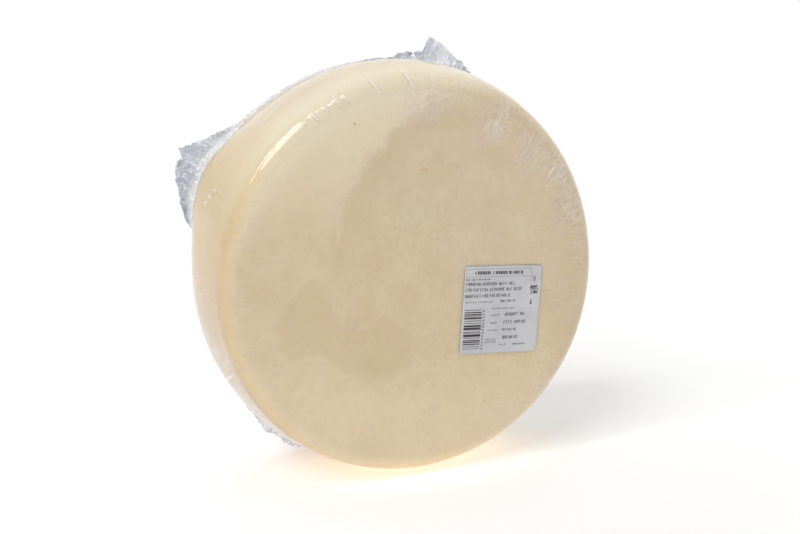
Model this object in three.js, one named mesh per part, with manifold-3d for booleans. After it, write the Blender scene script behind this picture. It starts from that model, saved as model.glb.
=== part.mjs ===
// A wheel of latteria cheese in a clear bag that is shrunk tight round it. It stands on its rim.
// Millimetres, +Z up. The wheel's axis lies along Y, and the face with the label looks towards -Y.
// The origin is the middle of the small flat foot that the wheel's weight presses into its rim.
import * as THREE from "three";
import { mergeVertices } from "three/addons/utils/BufferGeometryUtils.js";
import Module from "manifold-3d";

// The wheel. Angles round it are in degrees from +X towards +Z, as seen from the label's side.
const WHEEL_RADIUS = 155;
const WHEEL_THICKNESS = 96;
const SHOULDER_RADIUS = 16;
const RIM_BULGE = 5;
const FOOT_SINK = 2;

// A soft young wheel is never quite round: it is a little oval and a little three-sided.
const OVAL = 1.6;
const OVAL_TOWARDS = 111;
const THREE_SIDED = 0.7;
const THREE_SIDED_TOWARDS = 73;

// The back of the rim swells where the bag's left corner pulls at it.
const SWELLING = 10;
const SWELLING_AT = 152;
const SWELLING_WIDTH = 14.5;
const SWELLING_FROM = 10;
const SWELLING_SOFTNESS = 15;

// The bag's two sealed ends stand off the back of the rim as crumpled strips, with an ear at each
// corner. Each pair is an angle and how far the film's edge stands out past the wheel's rim.
const TOP_SEAL_EDGE = [
  [59, -3],
  [63, 4.5],
  [68, 10],
  [72.5, 16],
  [77, 20],
  [78.5, 8.5],
  [82, 6],
  [86, 0],
  [96, -2.5],
  [113, -3],
  [135, -2.5],
  [139, 0],
  [143, 5],
  [146.5, 10],
  [149, 17],
  [150.5, 10.5],
  [152.5, 12],
  [157, 6.5],
  [162, 2],
  [170, -7],
];
const BOTTOM_SEAL_EDGE = [
  [220, -6],
  [225, 2],
  [230, 6],
  [233.5, 11],
  [238, 10],
  [242, 13],
  [246, 12],
  [250, 6],
  [256, -1],
  [264, -4],
  [288, -4],
  [304, -2],
  [312, 4],
  [318, 12],
  [321, 15],
  [324, 11],
  [329, 9],
  [335, 2],
  [341, -6],
];

// How the strips run and crumple. The top one drifts forward on its way to the right-hand ear.
const SEAL_PLACE = 42;
const SEAL_FORWARD_DRIFT = 18;
const DRIFT_FROM = 98;
const DRIFT_TO = 62;
const SEAL_DEPTH_IN_RIM = 13;
const SEAL_THICK_AT_ROOT = 6;
const SEAL_THICK_AT_EDGE = 2.4;
const FLOOR_GAP = 0.8;

// The crumple is a sum of waves along the strip: folds in a full turn, and the depth of each in mm.
// The folds lean more and more towards the film's edge.
const CRUMPLE_WAVES = [
  [37, 1.3],
  [61, 1.1],
  [89, 0.8],
];
const CRUMPLE_LEAN = 1.6;

// The label, a paper sticker on the front of the bag, turned a little clockwise.
const LABEL_WIDTH = 65;
const LABEL_HEIGHT = 67.5;
const LABEL_CORNER = 1.5;
const LABEL_THICKNESS = 0.6;
const LABEL_GAP = 0.3;
const LABEL_RIGHT_OF_AXIS = 65.7;
const LABEL_BELOW_AXIS = 28.6;
const LABEL_TURN = 3.6;

// How finely the solids are cut into flat faces.
const STEPS_ROUND = 128;
const FACE_RINGS = [0, 70, 112];
const SHOULDER_STEPS = 6;
const RIM_STEPS = 6;
const SEAL_STEP_DEGREES = 1.2;
const SEAL_ROWS = 4;
const MERGE_DISTANCE = 1e-3;

const half = WHEEL_THICKNESS / 2;
const radians = THREE.MathUtils.degToRad;
const wasm = await Module();
wasm.setup();

// How much further out than a true circle the rim stands, at an angle and a place along the axis.
function outOfRound(angle, y) {
  const oval = OVAL * Math.cos(2 * (angle - radians(OVAL_TOWARDS)));
  const threeSided = THREE_SIDED * Math.cos(3 * (angle - radians(THREE_SIDED_TOWARDS)));
  const offset = angle - radians(SWELLING_AT);
  const turned = Math.atan2(Math.sin(offset), Math.cos(offset));
  const round = Math.exp(-((turned / radians(SWELLING_WIDTH)) ** 2));
  const along = 0.5 + 0.5 * Math.tanh((y - SWELLING_FROM) / SWELLING_SOFTNESS);
  return oval + threeSided + SWELLING * round * along;
}

const axisHeight = WHEEL_RADIUS + outOfRound(radians(270), 0) - FOOT_SINK;

// The wheel's half section: flat faces, two round shoulders and one long arc over the rim that
// runs into both shoulders without a corner. Each point is a radius and a place along the axis.
function sectionPoints() {
  const faceEdge = WHEEL_RADIUS - RIM_BULGE - SHOULDER_RADIUS;
  const shoulderAt = half - SHOULDER_RADIUS;
  const inset = RIM_BULGE + SHOULDER_RADIUS;
  const rimArc = (shoulderAt ** 2 + inset ** 2 - SHOULDER_RADIUS ** 2) / (2 * RIM_BULGE);
  const meeting = Math.asin(shoulderAt / (rimArc - SHOULDER_RADIUS));
  const front = FACE_RINGS.map((radius) => new THREE.Vector2(radius, -half));
  for (let k = 0; k <= SHOULDER_STEPS; k++) {
    const turn = THREE.MathUtils.lerp(Math.PI / 2, meeting, k / SHOULDER_STEPS);
    const radius = faceEdge + SHOULDER_RADIUS * Math.cos(turn);
    front.push(new THREE.Vector2(radius, -shoulderAt - SHOULDER_RADIUS * Math.sin(turn)));
  }
  for (let k = 1; k < RIM_STEPS / 2; k++) {
    const turn = THREE.MathUtils.lerp(meeting, 0, (2 * k) / RIM_STEPS);
    const radius = WHEEL_RADIUS - rimArc * (1 - Math.cos(turn));
    front.push(new THREE.Vector2(radius, -rimArc * Math.sin(turn)));
  }
  const back = front.map((point) => new THREE.Vector2(point.x, -point.y)).reverse();
  return [...front, new THREE.Vector2(WHEEL_RADIUS, 0), ...back];
}

// Moves every corner of a geometry by a function that takes and returns a Vector3.
function reshaped(geometry, move) {
  const place = geometry.getAttribute("position");
  const point = new THREE.Vector3();
  for (let i = 0; i < place.count; i++) {
    move(point.fromBufferAttribute(place, i));
    place.setXYZ(i, point.x, point.y, point.z);
  }
  return geometry;
}

// The geometry as a solid, with its shared corners merged and its faces without area left out.
function solid(geometry) {
  const bare = geometry.clone();
  bare.deleteAttribute("normal");
  bare.deleteAttribute("uv");
  const merged = mergeVertices(bare, MERGE_DISTANCE);
  const corners = merged.index.array;
  const kept = [];
  for (let i = 0; i < corners.length; i += 3) {
    const [a, b, c] = corners.slice(i, i + 3);
    if (a !== b && b !== c && c !== a) kept.push(a, b, c);
  }
  const vertProperties = new Float32Array(merged.getAttribute("position").array);
  const mesh = new wasm.Mesh({ numProp: 3, vertProperties, triVerts: new Uint32Array(kept) });
  return new wasm.Manifold(mesh);
}

// A solid as a geometry again.
function geometryOf(made) {
  const mesh = made.getMesh();
  const geometry = new THREE.BufferGeometry();
  geometry.setAttribute("position", new THREE.BufferAttribute(mesh.vertProperties, 3));
  geometry.setIndex(new THREE.BufferAttribute(mesh.triVerts, 1));
  geometry.computeVertexNormals();
  return geometry;
}

// The wheel: its section turned round the axis, then a little out of round, with its flat foot.
function wheel() {
  const turned = new THREE.LatheGeometry(sectionPoints(), STEPS_ROUND);
  return reshaped(turned, (point) => {
    const radius = Math.hypot(point.x, point.z);
    const angle = Math.atan2(point.z, point.x);
    const share = (radius / WHEEL_RADIUS) ** 3;
    const wider = radius + share * outOfRound(angle, point.y);
    point.x = wider * Math.cos(angle);
    point.z = Math.max(wider * Math.sin(angle), -axisHeight);
  });
}

// How far the film's edge stands out at an angle, by straight steps between the listed points.
function edgeHeight(edge, degrees) {
  const next = edge.findIndex(([angle]) => angle >= degrees);
  if (next <= 0) return edge[next === 0 ? 0 : edge.length - 1][1];
  const [fromAngle, fromHeight] = edge[next - 1];
  const [toAngle, toHeight] = edge[next];
  const share = (degrees - fromAngle) / (toAngle - fromAngle);
  return THREE.MathUtils.lerp(fromHeight, toHeight, share);
}

// How far the film's edge is folded sideways at an angle. out is 0 at the root and 1 at the edge.
function crumple(angle, out) {
  const folds = CRUMPLE_WAVES.map(([turns, depth], k) => {
    return depth * Math.sin(turns * angle + k * CRUMPLE_LEAN * out);
  });
  return folds.reduce((sum, fold) => sum + fold, 0);
}

// One sealed end of the bag: a strip along the back of the rim, from inside the wheel's shoulder
// out to the film's edge. It is thick and crumpled at the root and thin at the edge.
function sealStrip(edge, drift) {
  const from = edge[0][0];
  const to = edge[edge.length - 1][0];
  const steps = Math.round((to - from) / SEAL_STEP_DEGREES);
  const block = new THREE.BoxGeometry(1, 1, 1, steps, 1, SEAL_ROWS);
  return reshaped(block, (point) => {
    const degrees = THREE.MathUtils.lerp(from, to, point.x + 0.5);
    const angle = radians(degrees);
    const out = point.z + 0.5;
    const root = WHEEL_RADIUS - SEAL_DEPTH_IN_RIM;
    const tip = WHEEL_RADIUS + edgeHeight(edge, degrees);
    const thick = THREE.MathUtils.lerp(SEAL_THICK_AT_ROOT, SEAL_THICK_AT_EDGE, out);
    const forward = drift * THREE.MathUtils.smoothstep(DRIFT_FROM - degrees, 0, DRIFT_FROM - DRIFT_TO);
    const radius = THREE.MathUtils.lerp(root, tip, out) + outOfRound(angle, SEAL_PLACE);
    const sideways = SEAL_PLACE - forward + out * crumple(angle, out);
    point.set(radius * Math.cos(angle), sideways - point.y * thick, radius * Math.sin(angle));
    point.z = Math.max(point.z, FLOOR_GAP - axisHeight);
  });
}

// The wheel in its bag, as one solid.
function sealedWheel() {
  const top = solid(sealStrip(TOP_SEAL_EDGE, SEAL_FORWARD_DRIFT));
  const bottom = solid(sealStrip(BOTTOM_SEAL_EDGE, 0));
  return geometryOf(solid(wheel()).add(top).add(bottom));
}

// The label: a thin plate with rounded corners.
function label() {
  const x = LABEL_WIDTH / 2 - LABEL_CORNER;
  const y = LABEL_HEIGHT / 2 - LABEL_CORNER;
  const outline = new THREE.Shape();
  outline.absarc(x, y, LABEL_CORNER, 0, Math.PI / 2);
  outline.absarc(-x, y, LABEL_CORNER, Math.PI / 2, Math.PI);
  outline.absarc(-x, -y, LABEL_CORNER, Math.PI, 1.5 * Math.PI);
  outline.absarc(x, -y, LABEL_CORNER, 1.5 * Math.PI, 2 * Math.PI);
  const settings = { depth: LABEL_THICKNESS, bevelEnabled: false, curveSegments: 3 };
  return new THREE.ExtrudeGeometry(outline, settings);
}

// A named mesh with its own material.
function named(name, geometry, color, roughness) {
  const material = new THREE.MeshStandardMaterial({ color, roughness, metalness: 0 });
  const mesh = new THREE.Mesh(geometry, material);
  mesh.name = name;
  return mesh;
}

const cheese = new THREE.Group();

const sealedWheelMesh = named("sealed_wheel", sealedWheel(), 0xe4d3ad, 0.3);
sealedWheelMesh.position.z = axisHeight;
cheese.add(sealedWheelMesh);

const labelMesh = named("label", label(), 0xd6d8dc, 0.6);
labelMesh.rotation.set(Math.PI / 2, radians(LABEL_TURN), 0, "YXZ");
labelMesh.position.set(LABEL_RIGHT_OF_AXIS, -half - LABEL_GAP, axisHeight - LABEL_BELOW_AXIS);
cheese.add(labelMesh);

export default cheese;
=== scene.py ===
"""A wheel of latteria cheese in a clear bag that is shrunk tight round it, with a paper label.

Metres, +Z up. The wheel stands on its rim with its axis along Y, and the label looks towards -Y.
Angles go round the wheel from +X towards +Z, in degrees.
"""
import math

import bmesh
import bpy
import numpy as np
from mathutils import Matrix, Vector


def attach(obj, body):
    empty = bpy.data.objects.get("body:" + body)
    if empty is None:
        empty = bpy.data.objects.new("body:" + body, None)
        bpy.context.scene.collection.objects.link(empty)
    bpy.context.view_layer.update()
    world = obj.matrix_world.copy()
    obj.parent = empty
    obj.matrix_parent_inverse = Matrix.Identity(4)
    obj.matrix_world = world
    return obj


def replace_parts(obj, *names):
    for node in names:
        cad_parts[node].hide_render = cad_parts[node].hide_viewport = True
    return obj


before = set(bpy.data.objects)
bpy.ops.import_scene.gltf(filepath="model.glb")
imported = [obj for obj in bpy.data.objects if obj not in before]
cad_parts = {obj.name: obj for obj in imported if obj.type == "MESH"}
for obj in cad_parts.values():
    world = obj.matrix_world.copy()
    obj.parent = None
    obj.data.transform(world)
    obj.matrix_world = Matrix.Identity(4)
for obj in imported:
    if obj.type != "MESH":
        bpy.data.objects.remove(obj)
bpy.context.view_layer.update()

MM = 0.001

# The wheel's form, as in the CAD part.
WHEEL_RADIUS = 155 * MM
HALF_THICKNESS = 48 * MM
SHOULDER_RADIUS = 16 * MM
RIM_BULGE = 5 * MM
FOOT_SINK = 2 * MM
OVAL, OVAL_TOWARDS = 1.6 * MM, 111
THREE_SIDED, THREE_SIDED_TOWARDS = 0.7 * MM, 73
SWELLING, SWELLING_AT, SWELLING_WIDTH = 10 * MM, 152, 14.5
SWELLING_FROM, SWELLING_SOFTNESS = 10 * MM, 15 * MM

# The bag's two sealed ends: angles, and how far the film's edge stands out past the rim, in mm.
TOP_SEAL_EDGE = (
    (59, -3), (63, 4.5), (68, 10), (72.5, 16), (77, 20), (77.9, 8), (82, 6.5), (86, 0), (96, -2.5),
    (113, -3), (135, -2.5), (139, 0), (143, 5), (146.5, 10), (149, 17), (150.5, 10.5), (152.5, 12),
    (157, 6.5), (162, 2), (170, -7),
)
BOTTOM_SEAL_EDGE = (
    (220, -6), (225, 2), (230, 6), (233.5, 11), (238, 10), (242, 13), (246, 12), (250, 6),
    (256, -1), (264, -4), (288, -4), (304, -2), (312, 4), (318, 12), (321, 15), (324, 11),
    (329, 9), (335, 2), (341, -6),
)
SEAL_PLACE = 42 * MM
SEAL_FORWARD_DRIFT = 18 * MM
DRIFT_FROM, DRIFT_TO = 98, 62
FRONT_ROOT, BACK_ROOT = 33 * MM, 46.5 * MM
EARS = (75, 151, 240, 321)

# The surfaces: the film lies on the CAD solid's surface, and the cheese just under it.
CHEESE_UNDER_FILM = 0.45 * MM
CHEESE_COLUMNS, FILM_COLUMNS = 480, 960
# Rows of a skin along the wheel's section: from, to and step, in mm.
ROW_STEPS = ((0, 96, 12), (96, 134, 2.0), (134, 156, 1.6), (156, 192, 3.2))


def smooth(low, high, value):
    """0 below low, 1 above high and a soft slope between them."""
    share = np.clip((value - low) / (high - low), 0, 1)
    return share * share * (3 - 2 * share)


def between(start, end, value):
    """1 from the top of a start slope to the foot of an end slope, each a pair of low and high."""
    return smooth(*start, value) * (1 - smooth(*end, value))


def bell(value, middle, width):
    """1 at the middle, falling to nothing a few widths away."""
    return np.exp(-(((value - middle) / width) ** 2))


def turned_by(degrees, middle):
    """How far round the wheel an angle is from another one, from -180 to 180."""
    return (degrees - middle + 180) % 360 - 180


def near_angle(degrees, angle, width):
    """1 at an angle, falling off round the wheel."""
    return bell(turned_by(degrees, angle), 0, width)


def zigzag(phase):
    """A triangle wave from 0 to 1, once for each whole step of the phase."""
    return 1 - np.abs(2 * (phase % 1) - 1)


class Unevenness:
    """Smooth random values from -1 to 1 over a plane. They repeat after a whole number of cells."""

    def __init__(self, seed, cells=72):
        self.cells = cells
        self.heights = np.random.default_rng(seed).uniform(-1, 1, (cells, cells))

    def __call__(self, x, y):
        x, y = np.broadcast_arrays(np.asarray(x, float), np.asarray(y, float))
        column, row = np.floor(x).astype(int), np.floor(y).astype(int)
        right, up = smooth(0, 1, x - column), smooth(0, 1, y - row)
        total = 0
        for i, across in ((0, 1 - right), (1, right)):
            for j, along in ((0, 1 - up), (1, up)):
                corner = self.heights[(column + i) % self.cells, (row + j) % self.cells]
                total = total + across * along * corner
        return total


def out_of_round(degrees, y):
    """How much further out than a true circle the rim stands."""
    oval = OVAL * np.cos(2 * np.radians(degrees - OVAL_TOWARDS))
    three_sided = THREE_SIDED * np.cos(3 * np.radians(degrees - THREE_SIDED_TOWARDS))
    along = 0.5 + 0.5 * np.tanh((y - SWELLING_FROM) / SWELLING_SOFTNESS)
    return oval + three_sided + SWELLING * near_angle(degrees, SWELLING_AT, SWELLING_WIDTH) * along


AXIS_HEIGHT = WHEEL_RADIUS + float(out_of_round(270, 0)) - FOOT_SINK
FACE_EDGE = WHEEL_RADIUS - RIM_BULGE - SHOULDER_RADIUS
SHOULDER_AT = HALF_THICKNESS - SHOULDER_RADIUS
INSET = RIM_BULGE + SHOULDER_RADIUS
RIM_ARC = (SHOULDER_AT**2 + INSET**2 - SHOULDER_RADIUS**2) / (2 * RIM_BULGE)
MEETING = math.asin(SHOULDER_AT / (RIM_ARC - SHOULDER_RADIUS))
SHOULDER_LENGTH = SHOULDER_RADIUS * (math.pi / 2 - MEETING)
RIM_MIDDLE = FACE_EDGE + SHOULDER_LENGTH + RIM_ARC * MEETING


def section(along):
    """Radius, y and outward direction of the wheel's section at a distance along it from the
    middle of the front face. It turns back at the middle of the rim."""
    front = np.minimum(along, 2 * RIM_MIDDLE - along)
    side = np.where(along <= RIM_MIDDLE, -1, 1)
    past_face = front - FACE_EDGE
    past_shoulder = past_face - SHOULDER_LENGTH
    on_face, on_shoulder = past_face <= 0, past_shoulder <= 0
    shoulder_turn = math.pi / 2 - past_face / SHOULDER_RADIUS
    rim_turn = MEETING - past_shoulder / RIM_ARC
    turn = np.where(on_face, math.pi / 2, np.where(on_shoulder, shoulder_turn, rim_turn))
    shoulder_radius = FACE_EDGE + SHOULDER_RADIUS * np.cos(turn)
    rim = WHEEL_RADIUS - RIM_ARC * (1 - np.cos(turn))
    radius = np.where(on_face, front, np.where(on_shoulder, shoulder_radius, rim))
    depth = np.where(on_shoulder, SHOULDER_AT + SHOULDER_RADIUS * np.sin(turn), RIM_ARC * np.sin(turn))
    return radius, side * depth, np.cos(turn), side * np.sin(turn)


def rim_radius(y):
    """The radius of the wheel's section at a y on the rim or on a shoulder."""
    across = np.abs(y)
    on_rim = WHEEL_RADIUS - RIM_ARC + np.sqrt(np.maximum(RIM_ARC**2 - across**2, 0))
    over_shoulder = np.sqrt(np.maximum(SHOULDER_RADIUS**2 - (across - SHOULDER_AT) ** 2, 0))
    return np.where(across <= RIM_ARC * math.sin(MEETING), on_rim, FACE_EDGE + over_shoulder)


def placed(radius, degrees, y, lowest):
    """Points of the part from a radius, an angle and a y. Nothing reaches below the lowest z."""
    angle = np.radians(degrees)
    z = np.maximum(radius * np.sin(angle) + AXIS_HEIGHT, lowest)
    return np.stack(np.broadcast_arrays(radius * np.cos(angle), y, z), axis=-1)


def section_rows():
    """Distances along the section of the rows of a skin: close together over the shoulders."""
    front = [np.arange(low, high, step) for low, high, step in ROW_STEPS]
    front = np.concatenate(front) * MM
    front = front[(front > 0) & (front < RIM_MIDDLE - 1 * MM)]
    return np.concatenate([front, [RIM_MIDDLE], (2 * RIM_MIDDLE - front)[::-1]])


def added(name, data):
    """A new object in the scene from its mesh, lamp or camera data."""
    made = bpy.data.objects.new(name, data)
    bpy.context.scene.collection.objects.link(made)
    return made


def mesh_object(name, points, faces, smooth_faces=True):
    """An object from closed shells, with their faces turned outwards."""
    mesh = bpy.data.meshes.new(name)
    mesh.from_pydata(points.tolist(), [], faces)
    shells = bmesh.new()
    shells.from_mesh(mesh)
    bmesh.ops.recalc_face_normals(shells, faces=shells.faces)
    shells.to_mesh(mesh)
    shells.free()
    mesh.polygons.foreach_set("use_smooth", [smooth_faces] * len(mesh.polygons))
    return added(name, mesh)


def grid_faces(rows, columns):
    """Quads of a grid of points that closes on itself along its columns."""
    row = np.arange(rows - 1)[:, None]
    column = np.arange(columns)[None, :]
    next_row, next_column = row + 1, (column + 1) % columns
    corners = (row * columns + column, row * columns + next_column)
    corners += (next_row * columns + next_column, next_row * columns + column)
    return np.stack([np.broadcast_to(c, (row.size, columns)) for c in corners], -1).reshape(-1, 4)


def shade_value(made, name, values):
    """Gives each corner of a mesh a value that its material reads by name."""
    layer = made.data.attributes.new(name, "FLOAT", "POINT")
    layer.data.foreach_set("value", np.asarray(values, np.float32))


def skin(name, columns, offset, relief, lowest):
    """A closed skin round the wheel, at an offset from its surface plus a relief."""
    along = section_rows()[:, None]
    degrees = np.arange(columns)[None, :] * (360 / columns)
    radius, y, outward, sideways = section(along)
    height = offset + relief(degrees, along)
    following_rim = (radius / WHEEL_RADIUS) ** 3
    wider = radius + following_rim * out_of_round(degrees, y) + outward * height
    grid = placed(wider, degrees, y + sideways * height, lowest)
    rows = along.size
    poles = placed(np.zeros(2), 0, np.array([-1, 1]) * (HALF_THICKNESS + offset), lowest)
    points = np.concatenate([grid.reshape(-1, 3), poles])
    faces = grid_faces(rows, columns).tolist()
    last, pole = (rows - 1) * columns, rows * columns
    for k in range(columns):
        following = (k + 1) % columns
        faces.append([pole, following, k])
        faces.append([pole + 1, last + k, last + following])
    return mesh_object(name, points, faces), degrees, along


# The film's single creases: angle, lean in degrees, half length, height, and how far outwards
# from the middle of the front shoulder, in mm.
CREASES = (
    (126.6, -8, 2.5, 0.35, 0), (123.0, -8, 4.5, 0.8, 0), (119.2, -8, 3.5, 0.65, 0),
    (115.4, -10, 5.0, 0.9, 0), (113.0, -10, 4.5, 0.7, 0), (103.6, -14, 6.5, 1.0, 0),
    (93.4, -18, 8.0, 0.9, 0), (87.0, -20, 6.0, 0.3, 1), (206.0, -24, 19.0, 0.45, 30),
    (156.0, 40, 4.0, 0.6, 44), (154.0, 15, 3.5, 0.5, 40), (158.0, -25, 3.0, 0.5, 47),
)
CREASE_WIDTH = 1.3 * MM
# Ridges of the film: their spacing in degrees, their lean and their row of random values.
WRINKLE_RIBS, WRINKLE_HEIGHT = (3.0, 0.35, 3), 0.3 * MM
PLEAT_RIBS, PLEAT_HEIGHT = (3.6, 0.5, 13), 0.9 * MM
PUCKER_RIBS, PUCKER_HEIGHT = (4.4, 0.2, 51), 1.3 * MM
# How far a ridge wanders, and the size of the patches in which ridges fade.
WANDER, WANDER_ANGLE = 0.7, 5
WAVER, WAVER_LENGTH = 0.35, 7 * MM
PATCH_WIDTH, PATCH_LENGTH, PATCH_ROW = 1.3, 14 * MM, 20
# Where the front is finely wrinkled: angle, width and weight.
FRONT_WRINKLES = ((38, 40, 1), (315, 30, 0.4), (200, 34, 0.25))
# How far the wrinkles run in over a face, in mm, and its waves: size, angle and row.
WRINKLE_REACH, REACH_WAVES = 7, ((9, 7.2, 40), (5, 2.5, 0))
# How much of a sealed end's pull there is between its ears.
BETWEEN_EARS = 0.35
# Where the top end's strip is low, the cheese fills the bag's back edge out.
BACK_EDGE_SWELL = 3.6 * MM
loose_film = Unevenness(11)
long_waves = Unevenness(23, 36)


def creases(degrees, along):
    """Single sharp folds over the front shoulder and on the rim."""
    total = 0
    for angle, lean, half_length, height, outwards in CREASES:
        across = np.radians(turned_by(degrees, angle)) * WHEEL_RADIUS
        inward = FACE_EDGE + SHOULDER_LENGTH / 2 + outwards * MM - along
        turn = math.radians(lean)
        beside = across * math.cos(turn) - inward * math.sin(turn)
        length = across * math.sin(turn) + inward * math.cos(turn)
        total = total + height * MM * bell(beside, 0, CREASE_WIDTH) * bell(length, 0, half_length * MM)
    return total


def ribs(degrees, inward, spacing, lean, row):
    """Uneven ridges that run from the rim towards the middle, as a value from 0 to 1."""
    leaning = degrees + np.degrees(lean * inward / WHEEL_RADIUS)
    place = leaning / WANDER_ANGLE
    wander = WANDER * loose_film(place, row) + WAVER * loose_film(place, inward / WAVER_LENGTH + row)
    ridge = smooth(0, 1, zigzag(leaning / spacing + wander))
    patch_row = inward / PATCH_LENGTH + row + PATCH_ROW
    return ridge * smooth(-0.9, 0.9, loose_film(leaning / (spacing * PATCH_WIDTH), patch_row))


def ear_pull(degrees, width):
    """1 at each of the bag's corners, falling off round the wheel."""
    return sum(near_angle(degrees, ear, width) for ear in EARS)


def within_ends(degrees, edge, past, inside):
    """1 along a sealed end, falling to 0 from some way inside its two ends to some way past."""
    first, last = edge[0][0], edge[-1][0]
    return between((first - past, first + inside), (last - inside, last + past), degrees)


def along_seals(degrees):
    """1 where one of the bag's sealed ends runs."""
    return sum(within_ends(degrees, edge, past=0, inside=7) for edge in (TOP_SEAL_EDGE, BOTTOM_SEAL_EDGE))


def between_top_ears(degrees):
    """1 between the two ears of the top end, where its strip is low."""
    return between((88, 100), (132, 143), degrees)


def wrinkled_edge(degrees, edge, weight, row):
    """Where a shoulder and the face beside it are wrinkled: 1 at the most."""
    inward = FACE_EDGE - edge
    waves = (size * loose_film(degrees / angle, row + further) for size, angle, further in REACH_WAVES)
    reach = sum(waves, WRINKLE_REACH) * MM
    fades_in = 1 - smooth(reach, reach + 20 * MM, inward)
    return weight * fades_in * (1 - smooth(6 * MM, 18 * MM, -inward))


def wrinkled(degrees, along):
    """Where the film is finely wrinkled: most at the right of the front face and round the back."""
    in_front = sum(weight * near_angle(degrees, angle, width) for angle, width, weight in FRONT_WRINKLES)
    behind = 0.6 + 0.5 * ear_pull(degrees, width=20)
    front = wrinkled_edge(degrees, along, in_front, row=3)
    return front + wrinkled_edge(degrees, 2 * RIM_MIDDLE - along, behind, row=31)


def back_edge_swell(degrees, along):
    """The cheese fills the bag's back edge out under the low part of the top strip."""
    _, y, _, _ = section(along)
    on_edge = bell(y, 41 * MM, 5 * MM) * (1 - smooth(44 * MM, 47.5 * MM, y))
    return BACK_EDGE_SWELL * between_top_ears(degrees) * on_edge


def film_relief(degrees, along):
    """How far the film stands off the wheel."""
    _, y, _, _ = section(along)
    back = 2 * RIM_MIDDLE - along
    inward = FACE_EDGE - np.minimum(along, back)
    wrinkles = WRINKLE_HEIGHT * wrinkled(degrees, along) * ribs(degrees, inward, *WRINKLE_RIBS)
    at_ears = ear_pull(degrees, width=9)
    near_seal = along_seals(degrees) * (BETWEEN_EARS + (1 - BETWEEN_EARS) * at_ears)
    on_rim = between((8 * MM, 34 * MM), (38 * MM, 46 * MM), y)
    pleats = PLEAT_HEIGHT * near_seal * on_rim * ribs(degrees, y, *PLEAT_RIBS)
    inward = FACE_EDGE - back
    inner_end = 12 * MM + 34 * MM * ear_pull(degrees, width=12)
    on_back = (1 - smooth(8 * MM, inner_end, inward)) * smooth(-14 * MM, -2 * MM, inward)
    puckers = PUCKER_HEIGHT * near_seal * on_back * ribs(degrees, inward, *PUCKER_RIBS)
    waves = 0.12 * MM * long_waves(degrees / 10, along / (14 * MM))
    return wrinkles + creases(degrees, along) + pleats + puckers + waves + back_edge_swell(degrees, along)


def cheese_relief(degrees, along):
    """The soft cheese's own slight waves."""
    waves = 0.15 * MM * long_waves(degrees / 10 + 7, along / (17 * MM))
    return waves + back_edge_swell(degrees, along)


def film_haze_and_painted_reflections(degrees, along, relief):
    """How milky the film looks: where it stands off the cheese and where it is folded, with painted
    reflections of the pale floor at the low left and of the light above at the top.
    """
    _, y, _, _ = section(along)
    relief = relief - back_edge_swell(degrees, along)
    lifted = smooth(0.05 * MM, 0.45 * MM, relief)
    creased = smooth(0.12 * MM, 0.4 * MM, creases(degrees, along))
    # Painted reflections: of the pale floor on the low left of the rim, and of the light above on its top.
    low_left = near_angle(degrees, 213, 34) * smooth(-42 * MM, -36 * MM, y)
    low_left = low_left * (1 - smooth(60, 90, np.abs(turned_by(degrees, 208))))
    top = near_angle(degrees, 100, 30) * smooth(-30 * MM, 10 * MM, y)
    back_edge = smooth(26 * MM, 40 * MM, y) * (BETWEEN_EARS + (1 - BETWEEN_EARS) * along_seals(degrees))
    outer = smooth(0.2 * SHOULDER_LENGTH, 0.6 * SHOULDER_LENGTH, along - FACE_EDGE)
    outer = outer * (along < 2 * RIM_MIDDLE - FACE_EDGE)
    return 0.3 * lifted + 0.66 * creased + (0.75 * low_left + 0.15 * top + 0.24 * back_edge) * outer


def cheese_body():
    body, _, _ = skin("cheese", CHEESE_COLUMNS, -CHEESE_UNDER_FILM, cheese_relief, lowest=0.5 * MM)
    body.data.materials.append(cheese_finish())
    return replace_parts(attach(body, "root"), "sealed_wheel")


def film_skin():
    cover, degrees, along = skin("film", FILM_COLUMNS, 0, film_relief, lowest=0.05 * MM)
    # The haze holds the film's milkiness and painted reflections on the rim.
    haze = film_haze_and_painted_reflections(degrees, along, film_relief(degrees, along))
    at_poles = [0, 0]
    for name, values in (("haze", haze), ("wrinkled", wrinkled(degrees, along))):
        shade_value(cover, name, np.concatenate([values.reshape(-1), at_poles]))
    cover.data.materials.append(clear_film_finish())
    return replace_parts(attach(cover, "root"), "sealed_wheel")


# The sealed ends: two plies of film that leave the rim and the back face and meet at the edge.
SEAL_COLUMN_STEP = 0.26
PLY_STEPS = 22
UNDER_STEPS = 10
PLY_APART = 0.22 * MM
OVER_FILM = 0.12 * MM
LEAST_EDGE = 1.1 * MM
SEAM_SHARE = 0.3
# Nicks of the edge: height in mm, angle and row of random values. They fade on a low edge.
NICKS = ((0.9, 2.1, 3), (0.7, 0.62, 9))
NICKED_EDGE = (-4, 4)
FOLD_DEPTH, NARROW_FOLDS = 2.6 * MM, 0.55
CRUSH_DEPTH = 0.7 * MM
# Facets of the crumpled film: lean, size in about mm, and share.
FACETS = ((0.9, 6.1, 1.0), (-1.6, 4.3, 0.7), (0.3, 2.3, 0.6), (4.5, 7.0, 0.5))
# The haze is full where the film stands this far out. It is thinner at some angles: angle, width
# and how much.
HAZE_FULL_AT = 7 * MM
THINNER_HAZE = ((73, 4.5, 0.5), (240, 16, 0.45), (142, 5, 0.3))
THINNER_BETWEEN_EARS = 0.6
crush = Unevenness(5)


def edge_height(edge, degrees):
    """How far the film's edge stands out, with small nicks between the listed points."""
    height = np.interp(degrees, *zip(*edge))
    nicks = sum(size * crush(degrees / angle, row) for size, angle, row in NICKS)
    return (height + nicks * smooth(*NICKED_EDGE, height)) * MM


def seal_place(degrees, drift):
    """Where along the wheel's axis the seal runs."""
    return SEAL_PLACE - drift * smooth(0, DRIFT_FROM - DRIFT_TO, DRIFT_FROM - degrees)


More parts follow.
